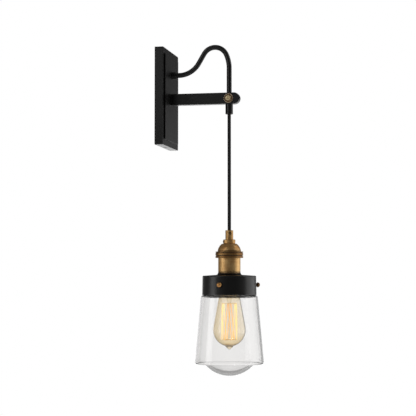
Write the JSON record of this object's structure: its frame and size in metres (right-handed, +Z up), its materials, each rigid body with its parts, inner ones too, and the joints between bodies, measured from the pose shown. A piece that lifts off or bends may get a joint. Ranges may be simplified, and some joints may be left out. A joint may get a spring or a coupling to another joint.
{
  "type": "wall sconce",
  "caption": "Wall sconce: rectangular backplate, gooseneck tube and flat arm carry a cord with a brass socket, a black shade holder, a clear glass shade and a bulb.",
  "frame": {"origin": "middle of the backplate's rear on the wall, centre of the two box screws", "axes": "+Z up, +Y into the wall, -Y out of the wall along the arm, X along the wall"},
  "size_m": [0.1228, 0.1838, 0.5911],
  "materials": {
    "black_metal": "satin black powder coat",
    "steel": "zinc plated",
    "brass": "brushed antique brass",
    "green_screw": "green painted steel",
    "bronze_washer": "dark bronze",
    "knob_ring": "dark brown metal",
    "dark_screw": "blackened steel",
    "cord": "braided black fabric over rubber",
    "fibre": "pressed fibre",
    "phenolic": "moulded phenolic",
    "clear_glass": "clear blown glass",
    "amber_glass": "amber tinted glass",
    "bulb_metal": "nickel plated",
    "wire": "drawn wire",
    "filament": "glowing filament",
    "thumb_screw": "aged copper-coloured brass"
  },
  "bodies": {
    "fixture": {"mounting_strap": "steel", "ground_screw": "green_screw", "backplate_pan": "black_metal", "pan_screws": "black_metal", "tube_boss": "black_metal", "boss_nut": "steel", "gooseneck_tube": "black_metal", "supply_cable": "cord", "arm_bar": "black_metal", "arm_screws": "steel", "knob_washer": "bronze_washer", "ferrule": "black_metal"},
    "knob": {"knob_disc": "knob_ring", "knob_screw": "brass"},
    "swivel": {"swivel_washer": "steel"},
    "ball": {"swivel_ball": "brass"},
    "pendant": {"pendant_cord": "cord", "cord_grip": "brass", "grip_screw": "dark_screw", "neck_ring": "brass", "neck_screw": "dark_screw", "socket_cap": "brass", "ribbed_ring": "brass", "socket_shell": "brass", "shell_liner": "fibre", "lampholder_core": "phenolic", "contact_shell": "brass", "centre_contact": "brass", "terminal_screws": "brass", "shade_holder": "black_metal", "holder_nut": "steel", "weld_nuts": "steel", "glass_shade": "clear_glass"},
    "bulb": {"bulb_base": "bulb_metal", "bulb_insulator": "phenolic", "bulb_contact": "bulb_metal", "bulb_glass": "amber_glass", "bulb_stem": "clear_glass", "filament_supports": "wire", "filament": "filament"},
    "screw_1": {"shade_screw_1": "thumb_screw"},
    "screw_2": {"shade_screw_2": "thumb_screw"},
    "screw_3": {"shade_screw_3": "thumb_screw"}
  },
  "joints": [
    {"name": "knob_turn", "type": "hinge", "parent": "fixture", "child": "knob", "pos_m": [-0.0085, -0.1224, -0.001], "axis": [-1, 0, 0], "range_deg": [0, 180]},
    {"name": "swing_out", "type": "hinge", "parent": "fixture", "child": "swivel", "pos_m": [0, -0.1224, -0.0267], "axis": [-1, 0, 0], "range_deg": [-7, 20]},
    {"name": "swing_side", "type": "hinge", "parent": "swivel", "child": "ball", "pos_m": [0, -0.1224, -0.0267], "axis": [0, 1, 0], "range_deg": [-20, 20]},
    {"name": "cord_twist", "type": "hinge", "parent": "ball", "child": "pendant", "pos_m": [0, -0.1224, -0.0267], "axis": [0, 0, 1], "range_deg": [-90, 90]},
    {"name": "bulb_out", "type": "slide", "parent": "pendant", "child": "bulb", "axis": [0, 0, -1], "range_m": [0, 0.024]},
    {"name": "screw_1_out", "type": "slide", "parent": "pendant", "child": "screw_1", "axis": [-0.9848, 0.1736, 0], "range_m": [0, 0.004]},
    {"name": "screw_2_out", "type": "slide", "parent": "pendant", "child": "screw_2", "axis": [0.342, -0.9397, 0], "range_m": [0, 0.004]},
    {"name": "screw_3_out", "type": "slide", "parent": "pendant", "child": "screw_3", "axis": [0.6428, 0.766, 0], "range_m": [0, 0.004]}
  ]
}
